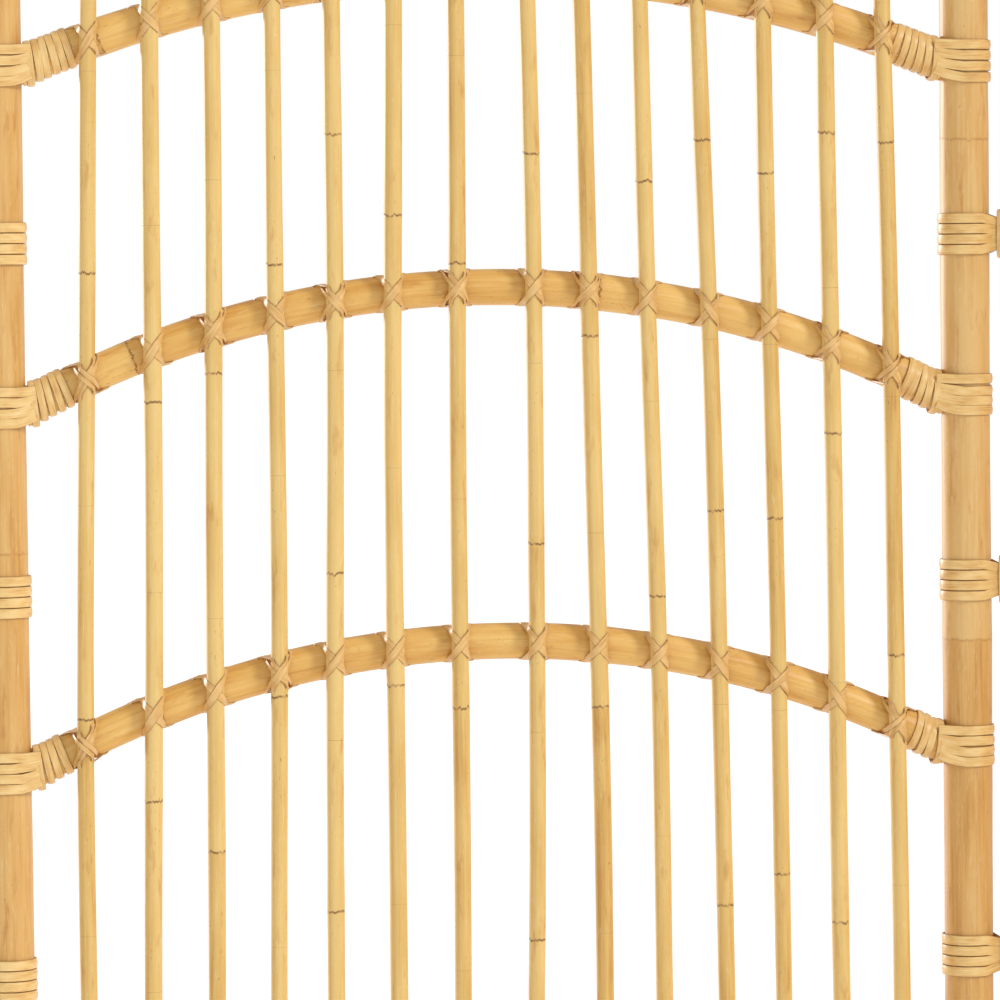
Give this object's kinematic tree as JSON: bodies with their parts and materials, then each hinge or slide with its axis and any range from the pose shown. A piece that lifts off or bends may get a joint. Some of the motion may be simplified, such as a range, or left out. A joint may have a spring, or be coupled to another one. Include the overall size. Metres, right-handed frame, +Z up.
{
  "type": "folding room divider screen",
  "caption": "Free-standing folding screen of rattan: panels of round posts, arched rails and thin upright rods lashed with cane, joined by cane bindings that let the panels fold.",
  "frame": {"origin": "on the floor, under the middle of the middle panel", "axes": "+X along the middle panel to its right, -Y the middle panel's front (rod side), +Z up"},
  "size_m": [1.3312, 0.6788, 1.7428],
  "materials": {
    "post_rattan": "satin lacquer",
    "rail_rattan": "satin lacquer",
    "spindle_rattan": "satin lacquer",
    "cane_binding": "satin, split cane",
    "screw_steel": "zinc plated",
    "glide_plastic": "matte"
  },
  "bodies": {
    "left_panel": {"left_panel_left_post": "post_rattan", "left_panel_right_post": "post_rattan", "left_panel_rail_01": "rail_rattan", "left_panel_rail_02": "rail_rattan", "left_panel_rail_03": "rail_rattan", "left_panel_rail_04": "rail_rattan", "left_panel_rail_05": "rail_rattan", "left_panel_rail_06": "rail_rattan", "left_panel_rail_07": "rail_rattan", "left_panel_rail_08": "rail_rattan", "left_panel_rail_09": "rail_rattan", "left_panel_rail_10": "rail_rattan", "left_panel_spindles": "spindle_rattan", "left_panel_glides": "glide_plastic", "left_panel_crossing_lashings": "cane_binding", "left_panel_rail_end_wraps": "cane_binding", "left_panel_post_straps": "cane_binding", "left_panel_rail_screws": "screw_steel"},
    "middle_panel": {"middle_panel_left_post": "post_rattan", "middle_panel_right_post": "post_rattan", "middle_panel_rail_01": "rail_rattan", "middle_panel_rail_02": "rail_rattan", "middle_panel_rail_03": "rail_rattan", "middle_panel_rail_04": "rail_rattan", "middle_panel_rail_05": "rail_rattan", "middle_panel_rail_06": "rail_rattan", "middle_panel_rail_07": "rail_rattan", "middle_panel_rail_08": "rail_rattan", "middle_panel_rail_09": "rail_rattan", "middle_panel_rail_10": "rail_rattan", "middle_panel_spindles": "spindle_rattan", "middle_panel_glides": "glide_plastic", "middle_panel_crossing_lashings": "cane_binding", "middle_panel_rail_end_wraps": "cane_binding", "middle_panel_post_straps": "cane_binding", "middle_panel_rail_screws": "screw_steel"},
    "right_panel": {"right_panel_left_post": "post_rattan", "right_panel_right_post": "post_rattan", "right_panel_rail_01": "rail_rattan", "right_panel_rail_02": "rail_rattan", "right_panel_rail_03": "rail_rattan", "right_panel_rail_04": "rail_rattan", "right_panel_rail_05": "rail_rattan", "right_panel_rail_06": "rail_rattan", "right_panel_rail_07": "rail_rattan", "right_panel_rail_08": "rail_rattan", "right_panel_rail_09": "rail_rattan", "right_panel_rail_10": "rail_rattan", "right_panel_spindles": "spindle_rattan", "right_panel_glides": "glide_plastic", "right_panel_crossing_lashings": "cane_binding", "right_panel_rail_end_wraps": "cane_binding", "right_panel_post_straps": "cane_binding", "right_panel_rail_screws": "screw_steel"},
    "left_hinge": {"left_hinge_loops": "cane_binding", "left_hinge_neck_wraps": "cane_binding"},
    "right_hinge": {"right_hinge_loops": "cane_binding", "right_hinge_neck_wraps": "cane_binding"}
  },
  "joints": [
    {"name": "left_binding_swing", "type": "hinge", "parent": "middle_panel", "child": "left_hinge", "pos_m": [-0.2425, 0, 0], "axis": [0, 0, 1], "range_deg": [-65, 60]},
    {"name": "left_panel_fold", "type": "hinge", "parent": "left_hinge", "child": "left_panel", "pos_m": [-0.28009, 0.01368, 0], "axis": [0, 0, 1], "range_deg": [-65, 60]},
    {"name": "right_binding_swing", "type": "hinge", "parent": "middle_panel", "child": "right_hinge", "pos_m": [0.2425, 0, 0], "axis": [0, 0, 1], "range_deg": [-65, 60]},
    {"name": "right_panel_fold", "type": "hinge", "parent": "right_hinge", "child": "right_panel", "pos_m": [0.28009, -0.01368, 0], "axis": [0, 0, 1], "range_deg": [-65, 60]}
  ],
  "couplings": [
    {"joint": "left_panel_fold", "follows": "left_binding_swing", "ratio": 1},
    {"joint": "right_panel_fold", "follows": "right_binding_swing", "ratio": 1}
  ]
}
